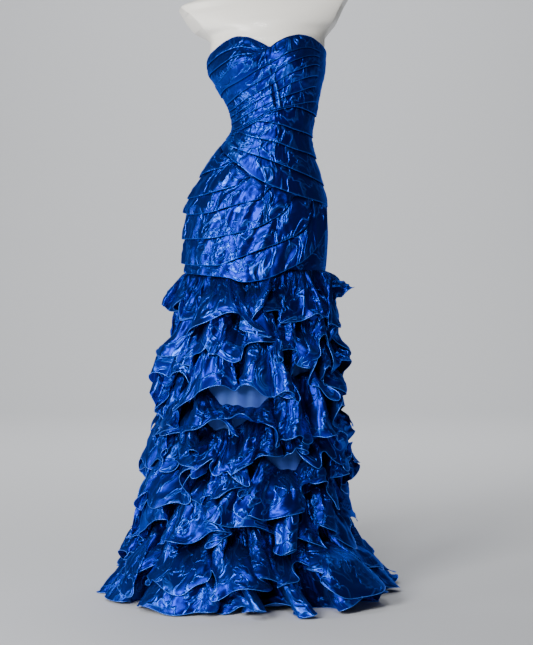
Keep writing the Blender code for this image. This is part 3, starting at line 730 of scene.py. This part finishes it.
left_cup = add_pleats(
    "left_cup_pleats", SIDE_SEAM, LEFT_CUP_END, left_cup_heights, seed=1.7, look=organza, fades=(14, 7),
)
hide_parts("bodice_left_cup")
front = add_pleats(
    "crossed_front_pleats", SIDE_SEAM, SIDE_PANEL_START - SIDE_SEAM, front_heights, seed=4.4, look=organza,
    relief=pinch, top_over=over_left_cup, fades=(14, 0),
)
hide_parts("bodice_front")
back = add_pleats(
    "back_pleats", 180 + SIDE_SEAM, 360 - SIDE_SEAM, back_heights, seed=8.1, look=organza, fades=(22, 22),
)
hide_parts("bodice_back")
turns = np.linspace(SIDE_PANEL_START + SIDE_SEAM, 180 - SIDE_SEAM, 26)
edges = front_heights(turns)
share = np.linspace(0, 1, 40)[:, None]
heights = edges[0] + (edges[-1] - edges[0]) * share
base = on_figure(turns[None, :], heights, 1.5)
side_out = 1.4 + 0.5 * wander(base, size=22, seed=2)
grid = on_figure(turns[None, :], heights, side_out)
side_panel = add_cloth("side_panel", grid, ring=False, thickness=0.9, look=organza)
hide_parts("bodice_side")


# ---------------------------------------------------------------- waist wrap
# One draped band on the front and one on the back, folded the other way from the bodice's pleats.
# It covers the waist seam and ends in a free folded edge on the hip.
WRAP_FOLDS = (
    FRONT_FOLDS[-1],
    ((0, 1094), (116, 1151), (150, 1141), (180, 1134)),
    ((0, 1091), (65, 1118), (100, 1110), (125, 1098), (180, 1084)),
    ((0, 1088), (30, 1096), (70, 1080), (101, 1068), (125, 1053), (150, 1044), (180, 1034)),
    ((0, 1084), (20, 1076), (40, 1062), (88, 1032), (128, 1000), (150, 985), (180, 970)),
    WRAP_EDGE,
)


def wrap_heights(turns):
    """Heights of the wrap's folds, the same on the front and on the back."""
    around = mirrored(turns)
    return [front_heights(around)[-1] - SEAM_GAP] + fold_heights(WRAP_FOLDS, around)[1:]


# Folds drawn from the left of the waist: turn and height of both ends, width in turn, depth
DRAWN_FOLDS = (
    (14, 1086, 62, 1040, 3.4, 3.0),
    (22, 1092, 74, 1052, 3.0, 2.6),
    (30, 1096, 86, 1068, 2.6, 2.2),
    (40, 1100, 80, 1094, 2.2, 1.6),
    (50, 1112, 92, 1120, 2.4, 1.6),
    (34, 1070, 70, 1016, 3.0, 2.2),
)


def drawn_folds(turns, heights):
    """Soft ridges that run aslant from the left side seam and die out."""
    around = mirrored(turns)
    total = 0.0 * heights * around
    for turn_from, height_from, turn_to, height_to, width, depth in DRAWN_FOLDS:
        part = (around - turn_from) / (turn_to - turn_from)
        middle = height_from + (height_to - height_from) * part
        across = (heights - middle) / (width * 2.4)
        swell = np.clip(part * 4, 0, 1) * np.clip((1 - part) * 2, 0, 1)
        total = total + depth * swell * (np.exp(-(across**2)) - 0.6 * np.exp(-((across - 1.5) ** 2)))
    return total


for name, node, start in (("front_wrap", "waist_wrap_front", 0), ("back_wrap", "waist_wrap_back", 180)):
    wrap = add_pleats(
        name, start + SIDE_SEAM, start + 180 - SIDE_SEAM, wrap_heights, seed=start / 50 + 2.2, look=organza,
        relief=drawn_folds,
    )
    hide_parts(node)


# ---------------------------------------------------------------- ruffles
# Nine gathered rings of crisp organza, each cut long and sewn to the underskirt along its top.
# The hems are rolled over a fine wire-like thread, so that they curl and catch the light.
# seam, hem, waves, reach_left, reach_front, reach_right, seed
RUFFLES = (
    (770, 670, 12, 54, 46, 48, 11),
    (676, 586, 12, 34, 46, 28, 12),
    (592, 496, 13, 60, 48, 56, 13),
    (502, 398, 13, 54, 48, 42, 14),
    (404, 328, 14, 64, 42, 48, 15),
    (334, 255, 14, 58, 46, 60, 16),
    (261, 167, 14, 50, 48, 44, 17),
    (173, 81, 14, 58, 46, 30, 18),
    (87, 2, 15, 84, 92, 92, 19),
)
FLOOR_RUFFLE = len(RUFFLES) - 1
# Where a hem is caught up and the underskirt shows: ruffle, counted from 0 at the top, turn, width
# in turn, height of its hem, height of the next seam
CAUGHT_UP = ((2, 82, 17, 508, 456), (3, 70, 9, 430, 401), (4, 118, 9, 358, 311))
SEAM_OUT, SEAM_GATHER, SEAM_TUCK = 2.5, 1.6, 1
SEAM_RISE = 34  # how far a seam is above its listed height, out of sight under the ruffle above
OVERLAP, FLOOR_OVERLAP = 30, 6  # how far the cloth hangs past its listed hem, on average
TROUGH_OUT, TROUGH_PUFF = 12, 0.7
FLOOR_RISE = 4
SWAY, SWAY_TURN = 4, 60
WAVE_COLUMNS = 64
HEM_BAND = 0.82  # share of the depth where the hem starts to curl
CLEAR, FLOOR_CLEAR = 2.2, 1.5
# Unevenness of the hem's height, of how far the cloth stands off and of the hem's curl: how much,
# and how long each swell is
HEM_WANDER, HEM_WANDER_SIZE = 32, 120
HEM_RIPPLE, HEM_RIPPLE_SIZE = 19, 52
FLUTTER, FLUTTER_SIZE = 10, 40
SMALL_FLUTTER, SMALL_FLUTTER_SIZE = 4, 20
CURL, CURL_SIZE = 18, 46
SEAM_GATHERS, SEAM_GATHER_DEPTH = 46, 1.6
LONG_CREASE, LONG_CREASE_SIZE = 7.5, 40
SHORT_CREASE, SHORT_CREASE_SIZE = 6.5, 18
# Ranges that each wave's own values are drawn from: the bends of its path, in degrees and radians,
# how soon it stands off and falls, where it leans, and how far its crest hangs, turns in and lifts
BEND, SECOND_BEND, THIRD_BEND = (80, 116), (0.5, 1.3), (-1.2, 1.2)
WAVE_PUFF, WAVE_FALL, WAVE_LEAN = (0.45, 0.85), (0.1, 1.1), (-0.45, 0.45)
CREST_HANG, CREST_TUCK, CREST_LIFT = (-20, 14), (-5, 20), (4, 66)
TOP_RUFFLE_PUFF = 0.4  # the topmost ruffle stands off later, from under the last crescent


def ruffle_waves(number):
    """Start, width, height and lean of each wave round a ruffle."""
    _, _, count, _, _, _, seed = RUFFLES[number]
    rng = random.Random(seed)
    widths = [rng.uniform(0.7, 1.35) for _ in range(count)]
    share = 360 / sum(widths)
    waves, start = [], -widths[0] * share / 2
    for width in widths:
        height = 0.6 + 0.35 * width + rng.uniform(-0.1, 0.1)
        waves.append((start, width * share, height, rng.uniform(-0.16, 0.16)))
        start += width * share
    return waves


def caught_share(turn, centre, spread):
    """How much a hem or seam is moved at each turn, from 0 to 1."""
    return np.clip(1.25 * np.exp(-(((turn - centre) / spread) ** 2)), 0, 1)


def ring_noise(run, length, size, seed):
    """Smooth unevenness, about -1 to 1, along a closed strip of this length."""
    radius = length / math.tau / size
    angle = math.tau * run / length
    spots = np.stack([radius * np.cos(angle), radius * np.sin(angle)], -1).reshape(-1, 2)
    return np.array([noise.noise((x, y, seed)) for x, y in spots]).reshape(np.shape(run)) * 1.8


def station(points):
    """Turn, and distance out from the figure, of points."""
    centre_x, half_width, centre_y, half_depth = figure(points[..., 2])
    x, y = points[..., 0] - centre_x, points[..., 1] - centre_y
    angle = np.arctan2(-y / half_depth, -x / half_width)
    out = np.hypot(x, y) - np.hypot(half_width * np.cos(angle), half_depth * np.sin(angle))
    return np.degrees(angle) % 360, out


def winding(number, share):
    """The winding rows of a ruffle, whose bends deepen towards the hem.

    Turn and depth of bend at each point, the height of its wave, what the wave drew, and its crest."""
    rng = random.Random(100 + RUFFLES[number][-1])
    p = (np.arange(WAVE_COLUMNS + 1) / WAVE_COLUMNS)[None, :]
    crest = (1 - np.cos(math.tau * p[:, :-1])) / 2
    deepen = share**0.4
    early = np.clip(1 - share * 5, 0, 1)
    columns = []
    for start, width, height, lean in ruffle_waves(number):
        bend = math.radians(rng.uniform(*BEND))
        second = rng.choice((-1, 1)) * rng.uniform(*SECOND_BEND)
        third = rng.uniform(*THIRD_BEND)
        turn_second, turn_third = rng.uniform(0, math.tau), rng.uniform(0, math.tau)
        puff, fall, hang = rng.uniform(*WAVE_PUFF), rng.uniform(*WAVE_FALL), rng.uniform(*CREST_HANG)
        puff = puff + (TOP_RUFFLE_PUFF if number == 0 else 0)
        lean = lean + rng.uniform(*WAVE_LEAN)
        tuck, lift = rng.uniform(*CREST_TUCK), rng.uniform(*CREST_LIFT)
        heading = bend * deepen * np.sin(math.tau * p)
        heading = heading + deepen * second * np.sin(2 * math.tau * p + turn_second)
        heading = heading + deepen**2 * third * np.sin(3 * math.tau * p + turn_third)
        onward = np.cumsum(np.cos(heading[:, :-1]), 1) - np.cos(heading[:, :1])
        aside = np.cumsum(np.sin(heading[:, :-1]), 1) - np.sin(heading[:, :1])
        whole = np.cos(heading[:, :-1]).sum(1, keepdims=True)
        back = np.sin(heading[:, :-1]).sum(1, keepdims=True)
        aside = aside - back * p[:, :-1]
        least = np.maximum(whole, 0.28 * WAVE_COLUMNS)
        along = onward / least + p[:, :-1] * (1 - whole / least)
        shape = aside / np.maximum(aside.max(1, keepdims=True), 1e-6)
        shape = crest * early + shape * (1 - early)
        turn = start + width * (along + lean * share**1.5 * crest)
        drawn = (height, puff, fall, hang, tuck, lift, crest)
        columns.append(np.stack(np.broadcast_arrays(turn, shape, *drawn), -1))
    return np.moveaxis(np.concatenate(columns, 1), -1, 0)


def ruffle_seam(number, turn):
    """Height of a ruffle's seam, wavy where the ruffle above is caught up."""
    seam = RUFFLES[number][0] + SWAY * np.sin(np.radians(turn + SWAY_TURN))
    if number == 0:
        return np.minimum(tier_hem(len(TIER_HEMS) - 1, turn) + SEAM_TUCK, seam)
    seam = seam + SEAM_RISE
    for caught, centre, spread, _, next_seam in CAUGHT_UP:
        if caught == number - 1:
            wavy_seam = next_seam + 3 * np.sin(np.radians(turn * 11)) + 1.5 * np.sin(np.radians(turn * 37))
            seam = seam + (wavy_seam - seam) * caught_share(turn, centre, 1.8 * spread)
    return seam


def outward(grid):
    """Unit normals of a closed ring of points, away from the figure."""
    along = np.roll(grid, -1, 1) - np.roll(grid, 1, 1)
    facing = np.cross(np.gradient(grid, axis=0), along)
    return facing / np.maximum(np.linalg.norm(facing, axis=-1, keepdims=True), 1e-6)


def hem_tip(share):
    """How far into the curled hem a row is, from 0 to 1."""
    return np.clip((share - HEM_BAND) / (1 - HEM_BAND), 0, 1) ** 1.6


def creased(grid, run, share, seed):
    """The points with crisp creases that run down from the gathers, and smaller ones across them."""
    cut = np.stack(np.broadcast_arrays(run, share * 90, 0.0 * share + seed * 9), -1)
    warp = np.stack([wander(cut, 40, 3), wander(cut, 40, 7), 0 * grid[..., 0]], -1) * 22
    large = LONG_CREASE * (crush(cut + warp, LONG_CREASE_SIZE, seed, squeeze=(1, 0.5, 1)) - 0.4)
    small = SHORT_CREASE * (crush(cut + warp, SHORT_CREASE_SIZE, seed=5, squeeze=(1, 0.8, 1)) - 0.4)
    creases = (large + small * (1 - 0.6 * hem_tip(share))) * np.clip(share * 2.2, 0, 1)
    return grid + outward(grid) * creases[..., None]


def ruffle_grid(number):
    """Points of a ruffle: winding rows, stood off the figure, let fall from the seam and creased."""
    seam_height, hem_height, _, left, front, right, seed = RUFFLES[number]
    on_floor = number == FLOOR_RUFFLE
    share = np.concatenate([np.linspace(0, HEM_BAND, 18), np.linspace(HEM_BAND, 1, 7)[1:]])[:, None]
    turn, shape, height, puff, fall, hang, tuck, lift, crest = winding(number, share)
    sideways = np.cos(np.radians(turn))
    reach = (front + (np.where(sideways > 0, left, right) - front) * sideways**2) * height
    out = SEAM_OUT + (TROUGH_OUT - SEAM_OUT) * share**TROUGH_PUFF
    out = out + shape * (SEAM_GATHER + (reach + TROUGH_OUT - SEAM_GATHER) * share**puff)
    out = out - (0 if on_floor else 1) * tuck * shape * share**4
    # The cut length of the ruffle, along a row near its hem.
    spot = on_figure(turn, seam_height, out)
    closed = np.concatenate([spot, spot[:, :1]], 1)
    steps = np.linalg.norm(np.diff(closed, axis=1), axis=2)[-4]
    length = steps.sum()
    run = (np.cumsum(steps) - steps)[None, :]
    # How far each point has fallen below the seam.
    seam = ruffle_seam(number, turn)
    uneven = 0.5 if on_floor else 1
    rise = FLOOR_RISE if on_floor else 0
    drop = (seam - hem_height - rise * crest) * share ** (1 + fall * crest)
    overlap = FLOOR_OVERLAP if on_floor else OVERLAP
    hang = hang * crest + HEM_WANDER * ring_noise(run, length, HEM_WANDER_SIZE, seed)
    drop = drop + share**1.3 * (overlap + uneven * hang)
    drop = drop + share**2 * uneven * HEM_RIPPLE * ring_noise(run, length, HEM_RIPPLE_SIZE, seed + 7)
    drop = drop - (0.15 if on_floor else 1) * lift * np.clip(shape, -0.3, 1) * share**1.8
    # Gathers at the seam, flutter further down, and the curl of the hem.
    gathers = np.sin(np.radians(turn * SEAM_GATHERS + 90 * ring_noise(run, length, 60, seed + 1)))
    out = out + SEAM_GATHER_DEPTH * gathers * np.clip(share * 8, 0, 1) * (1 - share) ** 1.2
    flutter = FLUTTER * np.tanh(2.2 * ring_noise(run, length, FLUTTER_SIZE, seed + 4))
    flutter = flutter + SMALL_FLUTTER * ring_noise(run, length, SMALL_FLUTTER_SIZE, seed + 5)
    out = out + flutter * np.clip(share * 1.6, 0, 1) ** 1.4
    curl = CURL * ring_noise(run, length, CURL_SIZE, seed + 2)
    out = out + curl * hem_tip(share)
    drop = drop - np.abs(curl) * hem_tip(share) * 0.8
    for caught, centre, spread, hem, _ in CAUGHT_UP:
        if caught == number:
            wavy_hem = hem + 4 - 24 * np.clip(np.sin(np.radians(turn * 19 + 50)), 0, 1)
            caught_drop = np.minimum(drop, (seam - wavy_hem) * share)
            drop = drop + (caught_drop - drop) * caught_share(turn, centre, spread)
    drop = np.minimum(drop, seam - 2.5)
    spot = on_figure(turn, seam - drop, 0)
    _, half_width, _, half_depth = figure(seam - drop)
    angle = np.radians(turn)
    facing = np.stack([-np.cos(angle) / half_width, -np.sin(angle) / half_depth, 0 * angle], -1)
    facing = facing / np.linalg.norm(facing, axis=-1, keepdims=True)
    grid = creased(spot + facing * np.maximum(out, CLEAR)[..., None], run, share, seed)
    # The rolled hem is too stiff for sharp corners.
    evened = grid
    for _ in range(5):
        evened = (np.roll(evened, 1, 1) + evened + np.roll(evened, -1, 1)) / 3
    return grid + (evened - grid) * np.clip(share * 2 - 1, 0, 1)[..., None]


def above_next(grid, lower, seam_height):
    """The points of a ruffle, laid outside the ruffle below it."""
    turn_step, height_step, headroom, behind_seam = 3.0, 8.0, 20, 6
    turns, outs = station(lower)
    low = lower[..., 2].min()
    rows = int((seam_height + headroom - low) / height_step) + 2
    reached = np.zeros((rows, int(360 / turn_step)))
    row = np.clip(((lower[..., 2] - low) / height_step).astype(int), 0, rows - 1)
    column = (turns / turn_step).astype(int) % reached.shape[1]
    np.maximum.at(reached, (row, column), outs)
    reached = np.maximum.reduce([np.roll(reached, s, 1) for s in (-1, 0, 1)])
    reached[:-1] = np.maximum(reached[:-1], reached[1:] * 0.9)
    turns, outs = station(grid)
    row = np.clip(((grid[..., 2] - low) / height_step).astype(int), 0, rows - 1)
    column = (turns / turn_step).astype(int) % reached.shape[1]
    need = np.where(grid[..., 2] < seam_height + behind_seam, reached[row, column] + CLEAR, 0)
    short = np.maximum(0, need - outs)
    # What a point lacks is shared with its neighbours, so that the cloth moves as a whole.
    for _ in range(6):
        short = np.maximum(short, (np.roll(short, 1, 1) + short + np.roll(short, -1, 1)) / 3)
        short[1:-1] = np.maximum(short[1:-1], (short[:-2] + short[1:-1] + short[2:]) / 3)
    for _ in range(3):
        short = (np.roll(short, 1, 1) + short + np.roll(short, -1, 1)) / 3
    centre_x, _, centre_y, _ = figure(grid[..., 2])
    away = np.stack([grid[..., 0] - centre_x, grid[..., 1] - centre_y, np.zeros_like(centre_x)], -1)
    return grid + away / np.linalg.norm(away, axis=-1, keepdims=True) * short[..., None]


def add_thread(name, line, radius, look):
    """Thread rolled into a hem, as a thin tube along the closed line of its points."""
    sides = 6
    along = np.roll(line, -1, 0) - np.roll(line, 1, 0)
    along = along / np.maximum(np.linalg.norm(along, axis=1, keepdims=True), 1e-6)
    across = np.cross(along, [0.0, 0.0, 1.0])
    across = across / np.maximum(np.linalg.norm(across, axis=1, keepdims=True), 1e-6)
    upward = np.cross(across, along)
    angles = math.tau * np.arange(sides) / sides
    ring = across[:, None] * np.cos(angles)[None, :, None] + upward[:, None] * np.sin(angles)[None, :, None]
    points = line[:, None] + radius * ring
    count = len(line)
    faces = []
    for i in range(count):
        for k in range(sides):
            after, turned = (i + 1) % count, (k + 1) % sides
            faces.append((i * sides + k, after * sides + k, after * sides + turned, i * sides + turned))
    return add_mesh(name, points, faces, look)


def painted_shade_share(grid):
    """How much painted shade the cloth gets, deep in a fold and just under its seam, from 0 to 1."""
    _, out = station(grid)
    down = np.linspace(0, 1, len(grid))[:, None]
    in_fold = np.clip(1.15 - out / 42, 0, 1) * np.clip(0.3 + down, 0, 1)
    return np.clip(in_fold + np.clip(0.5 - 3 * down, 0, 1), 0, 1)


hem_thread = material("pale_blue_thread", (0.06, 0.22, 0.92), roughness=0.35, metallic=0.7)
below = None
for number in reversed(range(len(RUFFLES))):
    grid = ruffle_grid(number)
    if below is not None:
        grid = above_next(grid, below, RUFFLES[number + 1][0] + SEAM_RISE)
    grid[..., 2] = np.maximum(grid[..., 2], FLOOR_CLEAR)
    below = grid
    # Painted shade deep in the folds and under the ruffle above.
    ruffle = add_cloth(
        f"ruffle_cloth_{number + 1}", grid, ring=True, thickness=0, look=organza, painted_light=-painted_shade_share(grid),
    )
    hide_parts(f"ruffle_{number + 1}")
    thread = add_thread(f"ruffle_hem_{number + 1}", grid[-1], radius=0.8, look=hem_thread)
